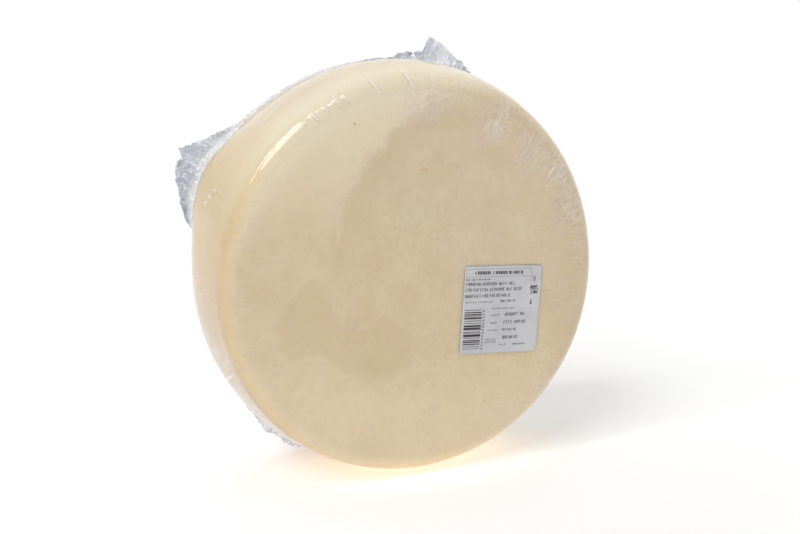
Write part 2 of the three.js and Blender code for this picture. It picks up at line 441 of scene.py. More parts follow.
def folds(degrees, out):
    """Sideways folds of the two plies together, deeper towards the edge."""
    wide = zigzag(degrees / 6.5 + 0.8 * crush(degrees / 9, 1) + 0.3 * out) - 0.5
    narrow = zigzag(degrees / 2.3 + 0.9 * crush(degrees / 4, 5) - 0.5 * out) - 0.5
    return FOLD_DEPTH * out * (wide + NARROW_FOLDS * narrow)


def crushed(degrees, out, row):
    """Small sharp facets, as in crumpled film."""
    arc = degrees * 2.7
    rise = out * 16
    warp = 3.0 * crush(arc / 9 + row, rise / 6) + 0.8 * crush(arc / 2.5, rise / 2.5 + row)
    total = 0
    for lean, size, share in FACETS:
        total = total + share * (zigzag((arc + lean * rise + warp) / size) - 0.5)
    return CRUSH_DEPTH * total


def bent(start, middle, end, share):
    """A curve from start to end that is pulled towards the middle point."""
    return (1 - share) ** 2 * start + 2 * share * (1 - share) * middle + share**2 * end


def ply(degrees, root_y, tip_y, tip, side):
    """Radius and y of one ply of a sealed end, from its root to the edge."""
    share = np.linspace(0, 1, PLY_STEPS)[:, None]
    ease = smooth(0.05, 0.9, share)
    seam = rim_radius(tip_y) + SEAM_SHARE * (tip - rim_radius(tip_y))
    y = bent(root_y, tip_y, tip_y, share) + side * PLY_APART * share
    radius = bent(rim_radius(root_y), seam, tip, share)
    sideways = folds(degrees, share**1.5) + crushed(degrees, share, row=2) * ease
    rises = 0.4 * crushed(degrees, share, row=31) * ease * (1 - 0.6 * share)
    return radius + rises, y + sideways


def end_haze(degrees, height):
    """How milky a sealed end is: more with its height over the rim, and less at some angles."""
    haze = np.clip(height / HAZE_FULL_AT, 0, 1)
    for angle, width, less in THINNER_HAZE:
        haze = haze * (1 - less * near_angle(degrees, angle, width))
    return haze * (1 - THINNER_BETWEEN_EARS * between_top_ears(degrees))


def sealed_end(name, edge, drift):
    """One sealed end, as a closed loop of film swept round the wheel."""
    degrees = np.arange(edge[0][0], edge[-1][0] + SEAL_COLUMN_STEP, SEAL_COLUMN_STEP)[None, :]
    tip_y = seal_place(degrees, drift)
    narrowing = within_ends(degrees, edge, past=1, inside=9)
    front_y = tip_y + (FRONT_ROOT - SEAL_PLACE) * narrowing
    back_y = tip_y + (BACK_ROOT - SEAL_PLACE) * narrowing
    tip = np.maximum(WHEEL_RADIUS + edge_height(edge, degrees), rim_radius(tip_y) + LEAST_EDGE)
    front = ply(degrees, front_y, tip_y, tip, -1)
    back = ply(degrees, back_y, tip_y, tip, 1)
    under_y = back_y + (front_y - back_y) * np.linspace(0, 1, UNDER_STEPS + 2)[1:-1, None]
    radius = np.concatenate([front[0], back[0][::-1], rim_radius(under_y)])
    y = np.concatenate([front[1], back[1][::-1], under_y])
    flattening = within_ends(degrees, edge, past=0, inside=5)
    radius = rim_radius(y) + OVER_FILM + np.maximum(radius - rim_radius(y), 0) * flattening
    points = placed(radius + out_of_round(degrees, y), degrees, y, lowest=0.3 * MM)
    loop, columns = points.shape[:2]
    faces = grid_faces(columns, loop).tolist()
    faces.append(list(range(loop))[::-1])
    faces.append(list(range((columns - 1) * loop, columns * loop)))
    end = mesh_object(name, points.transpose(1, 0, 2).reshape(-1, 3), faces)
    shade_value(end, "haze", end_haze(degrees, radius - rim_radius(y)).T.reshape(-1))
    end.data.materials.append(folded_film_finish())
    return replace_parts(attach(end, "root"), "sealed_wheel")


# The label, a paper sticker on the front of the bag.
LABEL_WIDTH, LABEL_HEIGHT, LABEL_CORNER = 65 * MM, 67.5 * MM, 1.5 * MM
LABEL_THICKNESS = 0.16 * MM
LABEL_OVER_FILM = 0.3 * MM
LABEL_RIGHT, LABEL_DOWN, LABEL_TURN = 65.7 * MM, 28.6 * MM, 3.6
LABEL_CELLS = 60
LABEL_WAVE = 0.1 * MM
INK_THICKNESS = 0.03 * MM
paper_waves = Unevenness(41)


def label_wave(u, v):
    """How far the paper stands off its flat place, at a share across and down it."""
    return LABEL_WAVE * paper_waves(u * 2.7, v * 2.3 + 5)


def on_label(u, v, height):
    """A point of the part from shares across and down the label, and a height over its back."""
    x, z = (u - 0.5) * LABEL_WIDTH, (0.5 - v) * LABEL_HEIGHT
    turn = math.radians(LABEL_TURN)
    across = x * math.cos(turn) + z * math.sin(turn)
    up = z * math.cos(turn) - x * math.sin(turn)
    depth = LABEL_OVER_FILM + height + label_wave(u, v)
    points = (LABEL_RIGHT + across, -HALF_THICKNESS - depth, AXIS_HEIGHT - LABEL_DOWN + up)
    return np.stack(np.broadcast_arrays(*points), axis=-1)


def rounded(u, v):
    """Pulls a share across the label in near its corners, so that they become round."""
    from_side = np.minimum(v, 1 - v) * LABEL_HEIGHT
    short = np.maximum(LABEL_CORNER - from_side, 0)
    cut = LABEL_CORNER - np.sqrt(np.maximum(LABEL_CORNER**2 - short**2, 0))
    return 0.5 + (u - 0.5) * (1 - 2 * cut / LABEL_WIDTH)


def label_paper():
    cells = LABEL_CELLS
    step = np.linspace(0, 1, cells + 1)
    u, v = np.meshgrid(step, step)
    u = rounded(u, v)
    front = on_label(u, v, LABEL_THICKNESS).reshape(-1, 3)
    back = on_label(u, v, 0).reshape(-1, 3)
    count = (cells + 1) ** 2
    row, column = np.divmod(np.arange(cells * cells), cells)
    corner = row * (cells + 1) + column
    quads = np.stack([corner, corner + cells + 1, corner + cells + 2, corner + 1], -1)
    faces = quads.tolist() + (quads[:, ::-1] + count).tolist()
    border = list(range(cells)) + [k * (cells + 1) + cells for k in range(cells)]
    border += [cells * (cells + 1) + k for k in range(cells, 0, -1)]
    border += [k * (cells + 1) for k in range(cells, 0, -1)]
    for here, there in zip(border, border[1:] + border[:1]):
        faces.append([here, there, there + count, here + count])
    paper = mesh_object("label", np.concatenate([front, back]), faces)
    paper.data.materials.append(paper_finish())
    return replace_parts(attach(paper, "root"), "label")


# The print's made-up signs: sizes are shares of their height.
SIGN_WIDTH, SIGN_GAP, WORD_GAP = 0.62, 0.3, 0.6
SIGNS_IN_WORD = (3, 8)
SECOND_UPRIGHT_CHANCE = 0.6
LONGEST_STEP = 3 * MM
# Bars and their gaps, in mm, and how often each thickness comes.
BAR_SIZES, BAR_CHANCES, BAR_GAPS = (0.5, 0.9, 1.4, 2.0), (0.4, 0.3, 0.2, 0.1), (0.4, 0.7, 1.2)
DARK_CELL_CHANCE = 0.52


class Print:
    """Strokes of ink on the label. Places are shares across and down it, stroke sizes in metres."""

    def __init__(self, seed):
        self.random = np.random.default_rng(seed)
        self.points, self.faces = [], []

    def stroke(self, left, top, right, bottom):
        """A flat bar of ink that follows the paper, in steps that aren't too long."""
        steps = 1 + int((right - left) * LABEL_WIDTH / LONGEST_STEP)
        u = np.linspace(left, right, steps + 1)
        first = sum(len(p) for p in self.points)
        for height in (LABEL_THICKNESS - INK_THICKNESS, LABEL_THICKNESS + INK_THICKNESS):
            self.points += [on_label(u, top, height), on_label(u, bottom, height)]
        n = steps + 1
        for k in range(steps):
            for a, b in ((2 * n, 3 * n), (3 * n, n), (n, 0), (0, 2 * n)):
                self.faces.append([first + a + k, first + b + k, first + b + k + 1, first + a + k + 1])
        for k, order in ((0, (0, n, 3 * n, 2 * n)), (steps, (2 * n, 3 * n, n, 0))):
            self.faces.append([first + k + corner for corner in order])

    def mark(self, left, middle, wide, high, weight):
        """One made-up sign: an upright or two, and a level stroke or two between them."""
        across, down = weight / LABEL_WIDTH, weight / LABEL_HEIGHT
        top, bottom = middle - high / 2, middle + high / 2
        self.stroke(left, top, left + across, bottom)
        if self.random.random() < SECOND_UPRIGHT_CHANCE:
            self.stroke(left + wide - across, top, left + wide, bottom)
        places = (top, middle - down / 2, bottom - down)
        for v in self.random.choice(places, 1 + self.random.integers(2), False):
            self.stroke(left + across, v, left + wide - across, v + down)

    def words(self, left, right, middle, height, weight):
        """A line of made-up signs with gaps between the words."""
        wide, high = SIGN_WIDTH * height / LABEL_WIDTH, height / LABEL_HEIGHT
        u = left
        while u + wide < right:
            for _ in range(self.random.integers(*SIGNS_IN_WORD)):
                if u + wide < right:
                    self.mark(u, middle, wide, high, weight)
                u += wide + SIGN_GAP * wide
            u += WORD_GAP * wide

    def script(self, lines):
        for left, right, middle, height, weight in lines:
            self.words(left, right, middle, height * MM, weight * MM)

    def frame_line(self, left, top, right, bottom, weight):
        """A thin rectangle."""
        across, down = weight / LABEL_WIDTH, weight / LABEL_HEIGHT
        self.stroke(left, top, right, top + down)
        self.stroke(left, bottom - down, right, bottom)
        self.stroke(left, top + down, left + across, bottom - down)
        self.stroke(right - across, top + down, right, bottom - down)

    def bars(self, left, right, top, bottom):
        """Level bars of uneven thickness, one above the other."""
        v = top
        while v < bottom:
            thick = self.random.choice(BAR_SIZES, p=BAR_CHANCES) * MM / LABEL_HEIGHT
            self.stroke(left, v, right, min(v + thick, bottom))
            v += thick + self.random.choice(BAR_GAPS) * MM / LABEL_HEIGHT

    def speckled_square(self, left, top, right, bottom, cells):
        """A square of small dark and bare cells."""
        for row in range(cells):
            for column in range(cells):
                if self.random.random() < DARK_CELL_CHANCE:
                    u = left + (right - left) * column / cells
                    v = top + (bottom - top) * row / cells
                    self.stroke(u, v, u + (right - left) / cells, v + (bottom - top) / cells)

    def ring(self, u, v, wide, high, weight, pieces):
        """A thin oval made of short strokes."""
        half_u, half_v = weight / LABEL_WIDTH / 2, weight / LABEL_HEIGHT / 2
        for k in range(pieces):
            turn = 2 * math.pi * k / pieces
            x, y = u + wide * math.cos(turn), v + high * math.sin(turn)
            self.stroke(x - half_u, y - half_v, x + half_u, y + half_v)


# Lines of made-up script: from and to across the label, how far down, height and weight in mm.
SCRIPT_LINES = (
    (0.13, 0.75, 0.075, 2.5, 0.7), (0.02, 0.33, 0.15, 1.2, 0.26), (0.02, 0.68, 0.2, 2.3, 0.42),
    (0.02, 0.76, 0.265, 2.3, 0.42), (0.02, 0.6, 0.335, 2.3, 0.42), (0.03, 0.38, 0.405, 1.1, 0.16),
    (0.48, 0.68, 0.4, 1.8, 0.34), (0.37, 0.66, 0.485, 1.0, 0.14), (0.37, 0.5, 0.56, 1.3, 0.24),
    (0.55, 0.81, 0.555, 2.5, 0.42), (0.37, 0.46, 0.65, 1.3, 0.24), (0.54, 0.84, 0.645, 2.5, 0.42),
    (0.33, 0.48, 0.735, 1.1, 0.16), (0.53, 0.72, 0.73, 1.8, 0.34), (0.54, 0.75, 0.82, 2.3, 0.5),
    (0.31, 0.46, 0.835, 0.7, 0.12), (0.31, 0.46, 0.855, 0.7, 0.12), (0.31, 0.46, 0.875, 0.7, 0.12),
    (0.51, 0.61, 0.905, 1.3, 0.26), (0.68, 0.87, 0.905, 1.1, 0.2),
)
# Boxes on the label as left, top, right and bottom, and then their weight or count of cells.
TITLE_FRAME = (0.02, 0.03, 0.86, 0.12, 0.16 * MM)
SPECKLED_SQUARE = (0.855, 0.23, 0.955, 0.33, 10)
SIGN_STROKES = ((0.873, 0.39, 0.884, 0.42), (0.868, 0.42, 0.889, 0.45))
# The bars: left, right, top and bottom. The ticks beside them, and the two strokes of each one.
BARS = (0.03, 0.25, 0.49, 0.94)
TICKS, TICKS_LEFT, TICKS_RIGHT, TICKS_TOP, TICK_SPACING = 13, 0.262, 0.29, 0.5, 0.036
TICK_STROKES = ((0, 0.007), (0.013, 0.018))
# The ring's middle, half sizes, weight and count of strokes, and the short lines inside it.
RING = (0.905, 0.155, 0.062, 0.044, 0.22 * MM, 44)
RING_LINES = ((0.88, 0.93, 0.137, 0.9, 0.2), (0.88, 0.93, 0.155, 0.9, 0.2), (0.88, 0.93, 0.173, 0.9, 0.2))


def label_print():
    ink = Print(7)
    ink.script(SCRIPT_LINES)
    ink.frame_line(*TITLE_FRAME)
    ink.bars(*BARS)
    for k in range(TICKS):
        top = TICKS_TOP + TICK_SPACING * k
        for start, end in TICK_STROKES:
            ink.stroke(TICKS_LEFT, top + start, TICKS_RIGHT, top + end)
    ink.speckled_square(*SPECKLED_SQUARE)
    ink.ring(*RING)
    ink.script(RING_LINES)
    for box in SIGN_STROKES:
        ink.stroke(*box)
    strokes = mesh_object("label_print", np.concatenate(ink.points), ink.faces, False)
    strokes.data.materials.append(ink_finish())
    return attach(strokes, "root")


def operator(operation, reflected=False):
    """A method that adds a Math node, with its two inputs swapped if it is reflected."""

    def method(value, other):
        inputs = (other, value) if reflected else (value, other)
        return value.recipe.node("ShaderNodeMath", {"operation": operation}, dict(enumerate(inputs)))

    return method


class Value:
    """The output of a shader node. Expressions on it add Math nodes."""

    def __init__(self, recipe, socket):
        self.recipe, self.socket = recipe, socket

    __add__ = __radd__ = operator("ADD")
    __mul__ = __rmul__ = operator("MULTIPLY")
    __sub__ = operator("SUBTRACT")
    __rsub__ = operator("SUBTRACT", reflected=True)
    __truediv__ = operator("DIVIDE")
    __pow__ = operator("POWER")
    least = operator("MINIMUM")
    most = operator("MAXIMUM")

    def size(self):
        return self.recipe.node("ShaderNodeMath", {"operation": "ABSOLUTE"}, {0: self})

    def step(self, low, high):
        """0 below low, 1 above high, with a soft slope between them. It falls if high is less."""
        settings = {"interpolation_type": "SMOOTHSTEP"}
        ends = (low, high, 0.0, 1.0) if low < high else (high, low, 1.0, 0.0)
        return self.recipe.node("ShaderNodeMapRange", settings, dict(enumerate((self, *ends))))

    def step_mm(self, low, high):
        """The same slope, with its ends in mm."""
        return self.step(low * MM, high * MM)

    def peak(self, middle, steepness):
        """1 at the middle, falling straight to 0 on both sides of it."""
        return (1 - (self - middle).size() * steepness).most(0.0)


class Recipe:
    """The nodes of one material or of the world."""

    def __init__(self, name, owner=None):
        self.owner = owner or bpy.data.materials.new(name)
        self.owner.use_nodes = True
        self.tree = self.owner.node_tree
        self.tree.nodes.clear()

    def node(self, kind, settings=None, sockets=None, output=0):
        """Adds a node: its settings first, then the values or links of its sockets."""
        made = self.tree.nodes.new(kind)
        for name, value in (settings or {}).items():
            setattr(made, name, value)
        for name, value in (sockets or {}).items():
            if isinstance(value, Value):
                self.tree.links.new(value.socket, made.inputs[name])
            else:
                made.inputs[name].default_value = value
        return Value(self, made.outputs[output])

    def place(self):
        """The point's place in the part's frame, as a vector and as three values."""
        vector = self.node("ShaderNodeTexCoord", output="Object")
        return vector, [self.node("ShaderNodeSeparateXYZ", None, {0: vector}, k) for k in range(3)]

    def noise(self, vector, scale, detail=3.0, roughness=0.5, distortion=0.0):
        sockets = {"Vector": vector, "Scale": scale, "Detail": detail}
        sockets |= {"Roughness": roughness, "Distortion": distortion}
        return self.node("ShaderNodeTexNoise", None, sockets, "Fac")

    def radial_noise(self, x, up, from_axis, scale, stretch):
        """Noise that is drawn out along the radii of the wheel: stretch is its share of scale there."""
        around = {0: x / from_axis * WHEEL_RADIUS, 1: up / from_axis * WHEEL_RADIUS, 2: from_axis * stretch}
        return self.noise(self.node("ShaderNodeCombineXYZ", None, around), scale, 2.0)

    def mixed(self, share, first, second, blend="MIX"):
        """A colour between two others, or another blend of them."""
        settings = {"data_type": "RGBA", "blend_type": blend}
        return self.node("ShaderNodeMix", settings, {0: share, 6: first, 7: second}, 2)

    def layered(self, color, layers):
        """A colour under others, which are given as pairs of a share and a colour."""
        for share, over in layers:
            color = self.mixed(share, color, over)
        return color

    def bump(self, height, distance, strength=1.0):
        sockets = {"Height": height, "Distance": distance, "Strength": strength}
        return self.node("ShaderNodeBump", None, sockets)

    def written(self, name):
        """A value that the mesh carries at its corners."""
        return self.node("ShaderNodeAttribute", {"attribute_name": name}, None, "Fac")

    def shader(self, sockets):
        return self.node("ShaderNodeBsdfPrincipled", None, sockets)

    def ends_in(self, shader, kind="ShaderNodeOutputMaterial"):
        """Links the last shader to the output and gives what the recipe is for."""
        end = self.tree.nodes.new(kind)
        self.tree.links.new(shader.socket, end.inputs["Surface"])
        return self.owner


def linear(level):
    """The amount of light of a screen's level from 0 to 255."""
    share = level / 255
    return share / 12.92 if level <= 10 else ((share + 0.055) / 1.055) ** 2.4


def paint(red, green, blue):
    """A colour from its levels on a screen."""
    return (linear(red), linear(green), linear(blue), 1.0)


def grey(amount):
    """A grey from its amount of light."""
    return (amount, amount, amount, 1.0)


CREAM = paint(230, 213, 178)
PALE_CREAM = paint(246, 231, 199)
DEEP_CREAM = paint(216, 195, 152)
ROSY_CREAM = paint(229, 208, 177)
# The colour of the painted highlight on the upper left shoulder and rim.
PAINTED_SHEEN_CREAM = paint(247, 236, 208)
EDGE_YELLOW = paint(238, 213, 150)
SPECK_BROWN = paint(150, 112, 52)
FIBRE_ORANGE = paint(222, 150, 88)
CLEAR_FILM_MILK = paint(249, 237, 226)
FOLDED_FILM_BLUE = paint(203, 212, 228)
FOLD_SHADE = paint(170, 178, 192)
PAPER_SHADE, PAPER_WHITE = paint(200, 200, 204), paint(211, 211, 215)
INK_DARK, INK_WORN = paint(52, 46, 50), paint(86, 80, 84)
# The low left of the wheel is warmer by this much.
WARMTH = (1.025, 1.0, 0.965, 1)

# Places on the front face are in mm, as right of the wheel's axis and above it.
FRONT_FACE = (-40, -47)
# The area where the film lies tight on the face.
CONTACT_MIDDLE, CONTACT_RADIUS = (60, 10), 130
# Damp patches: right, above and radius. Their soft edge is two shares of the radius.
DAMP_PATCHES, DAMP_EDGE = ((-86, -24, 24), (-58, -43, 18), (-28, -45, 19)), (1.15, 0.85)
# A painted highlight: the upper left shoulder and rim are paler towards this angle, where the light's broad
# reflection falls.
PAINTED_SHEEN_TOWARDS = math.radians(115)
# Specks in the cheese near its front face: right, above and radius.
SPECKS = ((-50, 115, 1.1), (-47, 114, 0.6), (53, -100, 1.0), (60, -87, 0.6), (20, -60, 0.5), (-20, 40, 0.5))
# A short orange fibre that sags at its ends.
FIBRE_RIGHT, FIBRE_ABOVE, FIBRE_HALF_LENGTH, FIBRE_HALF_WIDTH, FIBRE_SAG = 2, 81, 4, 0.5, 60


def distance_in_face(x, up, right=0, above=0):
    """Distance in the plane of the front face from a place on it."""
    across = x - right * MM
    over = up - above * MM
    return (across * across + over * over) ** 0.5


def ragged_patch(x, up, place, ragged, edge):
    """1 in a patch of the front face, with a ragged edge between two shares of its radius."""
    right, above, radius = place
    from_middle = distance_in_face(x, up, right, above) + ragged
    return from_middle.step_mm(radius * edge[0], radius * edge[1])


def face_layers(x, y, up, wander):
    """The front face: paler where the film is loose and, towards the bottom, with painted light from the
    floor; deeper where it is damp or lies tight.
    """
    on_front = y.step_mm(*FRONT_FACE)
    from_contact = distance_in_face(x, up, *CONTACT_MIDDLE) + wander
    tight = from_contact.step_mm(CONTACT_RADIUS + 4, CONTACT_RADIUS - 5) * up.step_mm(-110, -50)
    wet_edge = from_contact.step_mm(CONTACT_RADIUS - 45, CONTACT_RADIUS - 6) * tight * up.step_mm(-20, 40)
    # Paler away from the tight area: near the top for the loose film, towards the bottom as painted light
    # from the floor.
    pale = up.step_mm(25, 115) * 0.7 + up.step_mm(-10, -100) * 0.3 + 0.12
    damp = 0.0
    for place in DAMP_PATCHES:
        damp = ragged_patch(x, up, place, wander * 1.3, DAMP_EDGE).most(damp)
    yield (1 - tight) * on_front * pale, PALE_CREAM
    yield damp * on_front * 0.48, DEEP_CREAM
    yield wet_edge * on_front * 0.3, DEEP_CREAM


def side_layers(recipe, x, y, up):
    """The shoulders and the rim: painted shade at both sides, a painted highlight at the upper left, a
    yellow line.
    """
    from_axis = distance_in_face(x, up)
    # Painted shade: the right part of the wheel is deeper, as if less light fell there.
    painted_shade_right = x.step_mm(92, 132)
    yield painted_shade_right * 0.5, DEEP_CREAM
    # Painted highlight: a paler colour over the upper left shoulder and rim, in place of the light's broad
    # reflection.
    painted_sheen = (up * math.sin(PAINTED_SHEEN_TOWARDS) + x * math.cos(PAINTED_SHEEN_TOWARDS)).step_mm(75, 130)
    painted_sheen = painted_sheen * from_axis.step_mm(118, 145) * (y.step_mm(-10, -38) * 0.75 + 0.25)
    yield painted_sheen * y.step_mm(40, 30) * 0.8, PAINTED_SHEEN_CREAM
    line = from_axis.step_mm(140, 144) * from_axis.step_mm(151, 147) * y.step_mm(-38, -44)
    line = line * (x.step_mm(-60, -120) * 0.45 + 0.05)
    streaks = recipe.radial_noise(x, up, from_axis, 500.0, 0.1).step(0.3, 0.7) * 0.6 + 0.4
    yield line * streaks, EDGE_YELLOW
    # Painted shade: the left rim and its shoulders are deeper, as if less light fell there.
    painted_shade_left_rim = x.step_mm(-95, -150) * (1 - y.step_mm(*FRONT_FACE))
    yield painted_shade_left_rim * 0.6, DEEP_CREAM


def mark_layers(x, y, up):
    """The small brown specks and the orange fibre of the front face."""
    on_front = y.step_mm(*FRONT_FACE)
    for right, above, radius in SPECKS:
        spot = distance_in_face(x, up, right, above).step_mm(radius, radius * 0.35)
        yield spot * on_front * 0.7, SPECK_BROWN
    beside = x - FIBRE_RIGHT * MM
    along_fibre = beside.size().step_mm(FIBRE_HALF_LENGTH, FIBRE_HALF_LENGTH * 0.6)
    across_fibre = (up - FIBRE_ABOVE * MM + beside * beside * FIBRE_SAG).size()
    across_fibre = across_fibre.step_mm(FIBRE_HALF_WIDTH, FIBRE_HALF_WIDTH * 0.3)
    yield along_fibre * across_fibre * on_front * 0.6, FIBRE_ORANGE


def cheese_finish():
    """Smooth moist cheese: cream with faint clouds and marks of its own on the front face, and painted
    shade and light on its sides and face.
    """
    recipe = Recipe("cream cheese")
    vector, (x, y, z) = recipe.place()
    up = z - AXIS_HEIGHT
    clouds = recipe.noise(vector, 14.0, 4.0, 0.55, 0.4)
    patches = recipe.noise(vector, 42.0, 4.0, 0.6)
    grain = recipe.noise(vector, 260.0, 3.0, 0.6)
    wander = (clouds - 0.5) * (42 * MM) + (patches - 0.5) * (24 * MM)
    color = recipe.mixed(clouds.step(0.35, 0.65), CREAM, ROSY_CREAM)
    color = recipe.mixed(patches.step(0.35, 0.75) * 0.6, color, DEEP_CREAM)
    color = recipe.mixed(grain.step(0.4, 0.7) * 0.4, color, DEEP_CREAM)
    color = recipe.layered(color, face_layers(x, y, up, wander))
    color = recipe.layered(color, side_layers(recipe, x, y, up))
    low_left = (x * 0.7 + up).step_mm(55, -15)
    color = recipe.mixed(low_left, color, WARMTH, "MULTIPLY")
    color = recipe.layered(color, mark_layers(x, y, up))
    sockets = {
        "Base Color": color,
        "Roughness": patches * 0.15 + 0.38,
        "IOR": 1.42,
        "Subsurface Weight": 0.15,
        "Subsurface Radius": (1.0, 0.62, 0.32),
        "Subsurface Scale": 10 * MM,
        "Normal": recipe.bump(clouds * 0.5 + patches * 0.4 + grain * 0.12, 1.4 * MM, 0.6),
    }
    return recipe.ends_in(recipe.shader(sockets))


# The film's optics: the share that it mirrors straight on and at a glance, and its most haze.
FILM_TINT = (0.985, 0.985, 0.99, 1)
MIRROR_STRAIGHT, MIRROR_AT_GLANCE, MIRROR_POWER = 0.045, 0.6, 5
MOST_HAZE = 0.9
# Milky patches where the film has come off the front face: right, above, radius and share.
LOOSE_PATCHES = (
    (6, 126, 17, 0.3), (56, 107, 10, 0.34), (64, 122, 8, 0.25), (110, 73, 9, 0.26), (127, 44, 10, 0.18),
    (102, -98, 9, 0.16), (128, 14, 8, 0.1), (-16, 119, 8, 0.2),
)
LOOSE_EDGE = (1.25, 0.5)


def film_finish(recipe, haze, milk_color, height, distance):
    """Clear glossy film: it shows what is behind it, mirrors the light and is milky with haze."""
    bumps = recipe.bump(height, distance)
    clear = recipe.node("ShaderNodeBsdfTransparent", None, {"Color": FILM_TINT})
    shine = recipe.shader({"Base Color": grey(1.0), "Metallic": 1.0, "Roughness": 0.05, "Normal": bumps})
    milk = recipe.shader({"Base Color": milk_color, "Roughness": 0.35, "Normal": bumps})
    away = recipe.node("ShaderNodeLayerWeight", None, {"Blend": 0.5, "Normal": bumps}, "Facing")
    mirror = away**MIRROR_POWER * MIRROR_AT_GLANCE + MIRROR_STRAIGHT
    glossy = recipe.node("ShaderNodeMixShader", None, {0: mirror, 1: clear, 2: shine})
    share = haze.most(0.0).least(MOST_HAZE)
    return recipe.ends_in(recipe.node("ShaderNodeMixShader", None, {0: share, 1: glossy, 2: milk}))


def loose_haze(x, up, from_axis, warp, fine):
    """The milky patches, the line round the area of contact and the bubbles of the front face."""
    loose = 0.0
    for *place, share in LOOSE_PATCHES:
        loose = ragged_patch(x, up, place, warp * 1.6, LOOSE_EDGE) * share + loose
    from_contact = distance_in_face(x, up, *CONTACT_MIDDLE) + warp * 2.2
    line = from_contact.peak(CONTACT_RADIUS * MM, 380) * x.step_mm(-110, -60) * up.step_mm(20, 70)
    bubbles = fine.step(0.52, 0.66) * from_axis.step_mm(124, 132) * from_axis.step_mm(149, 143)
    bubbles = bubbles * x.step_mm(-90, -120)
    return loose * (fine * 1.2 + 0.3) + line * 0.16 + bubbles * 0.08


def clear_film_finish():
    """The film that lies on the cheese: wrinkled at the edges and milky where it has come off."""
    recipe = Recipe("clear film")
    vector, (x, y, z) = recipe.place()
    up = z - AXIS_HEIGHT
    # The written haze also holds the painted reflections of the floor and of the light above on the rim.
    written, wrinkles = recipe.written("haze"), recipe.written("wrinkled")
    clouds = recipe.noise(vector, 30.0, 4.0, 0.6, 0.3)
    fine = recipe.noise(vector, 110.0, 4.0, 0.6)
    threads = recipe.noise(vector, 320.0, 3.0, 0.6)
    warp = (clouds - 0.5) * (16 * MM)
    from_axis = distance_in_face(x, up)
    ridges = recipe.radial_noise(x + warp, up - warp, from_axis, 230.0, 0.16).peak(0.5, 9)
    small_ridges = recipe.radial_noise(x - warp, up, from_axis, 400.0, 0.12).step(0.5, 0.75)
    lifted = ridges * 0.8 + small_ridges * 0.15
    haze = written * (clouds * 0.9 + 0.35) + wrinkles * (lifted * 0.36 + 0.06)
    haze = haze + y.step_mm(*FRONT_FACE) * loose_haze(x, up, from_axis, warp, fine)
    haze = haze + clouds.step(0.5, 0.75) * 0.06 + threads.step(0.5, 0.8) * 0.04
    height = fine * 0.2 + clouds * 0.3 + wrinkles * lifted * 0.36 + threads * 0.02
    return film_finish(recipe, haze, CLEAR_FILM_MILK, height, 0.5 * MM)


def folded_film_finish():
    """The crumpled film of the sealed ends: bluish and half clear, with white folds."""
    recipe = Recipe("folded film")
    vector, (x, _, z) = recipe.place()
    stands_out = recipe.written("haze")
    clouds = recipe.noise(vector, 45.0, 2.0, 0.5, 0.5)
    facets = recipe.noise(vector, 75.0, 1.0, 0.4, 1.4)
    squiggles = recipe.noise(vector, 105.0, 1.0, 0.4, 1.6)
    up = z - AXIS_HEIGHT
    pleats = recipe.radial_noise(x, up, distance_in_face(x, up), 420.0, 0.12).step(0.35, 0.65)
    clear_lines = squiggles.peak(0.5, 24) * clouds.step(0.4, 0.52)
    edges = facets.peak(0.5, 26)
    color = recipe.mixed(edges * 0.6, FOLDED_FILM_BLUE, FOLD_SHADE)
    haze = stands_out * (clouds * 0.5 + pleats * 0.25 + edges * 0.3 + 0.12) * (1 - clear_lines * 0.95)
    crumples = (facets * 0.9 + squiggles * 0.4 + pleats * 0.12) * (stands_out * 0.85 + 0.15)
    return film_finish(recipe, haze + 0.03, color, crumples, 3.4 * MM)


def paper_finish():
    """Satin white paper."""
    recipe = Recipe("label paper")
    vector, _ = recipe.place()
    fibres = recipe.noise(vector, 900.0, 3.0, 0.6)
    shade = recipe.noise(vector, 40.0, 2.0)
    color = recipe.mixed(shade.step(0.35, 0.7), PAPER_SHADE, PAPER_WHITE)
    sockets = {"Base Color": color, "Roughness": fibres * 0.1 + 0.42}
    sockets["Normal"] = recipe.bump(fibres, 0.03 * MM, 0.4)
    return recipe.ends_in(recipe.shader(sockets))


def ink_finish():
    """Dark grey print."""
    recipe = Recipe("print")
    vector, _ = recipe.place()
    worn = recipe.noise(vector, 400.0, 2.0)
    color = recipe.mixed(worn.step(0.4, 0.8), INK_DARK, INK_WORN)
    return recipe.ends_in(recipe.shader({"Base Color": color, "Roughness": 0.45}))


# Light: a curved row of small suns above on the left, whose mirror image is the bright line on the
# front shoulder, and a soft sun that casts the shadow, in a pale room that is bright behind the
# wheel and dim in front of it.
WHEEL_MIDDLE = Vector((0, 0, AXIS_HEIGHT))
# Azimuth, elevation and share of each small sun.
KEY_SUNS = (
    (-77, 33, 0.45), (-80, 39, 0.6), (-79, 44, 0.8), (-75, 51, 1.1), (-72, 57, 1.3), (-64, 61, 1.3),
    (-46, 63, 0.8), (-25, 62, 0.8),
)
KEY_SUN_ANGLE = 4.5
KEY_STRENGTH = 0.78
# The soft sun: azimuth, elevation, angle across and strength.
MAIN_SUN = (-55, 46, 24, 0.76)
BRIGHT_SIDE = Vector((0.5, 0.72, 0.48)).normalized()
BRIGHT_FROM, BRIGHT_TO = -0.25, 0.75
ROOM_DIM, ROOM_BRIGHT = 0.2, 1.02
HORIZON_LOW, HORIZON_HIGH = 0.03, 0.12
FLOOR_RADIUS, FLOOR_CORNERS = 30, 64
FLOOR_WHITE = 0.86
FLOOR_GLOW = 0.125
# Soft light on the floor, as place, reach, how narrow and how shallow, and the colour that it
# adds: two that the pale cheese throws round its foot, and a broad one in front.
FLOOR_GLOWS = (
    ((12 * MM, -14 * MM), 100 * MM, 0.7, 1.3, (0.42, 0.36, 0.27)),
    ((-60 * MM, 6 * MM), 80 * MM, 0.6, 1.2, (0.1, 0.03, 0.0)),
    ((-120 * MM, -60 * MM), 300 * MM, 0.8, 1.0, (0.1, 0.1, 0.1)),
)
GLOW_CORE = 0.1


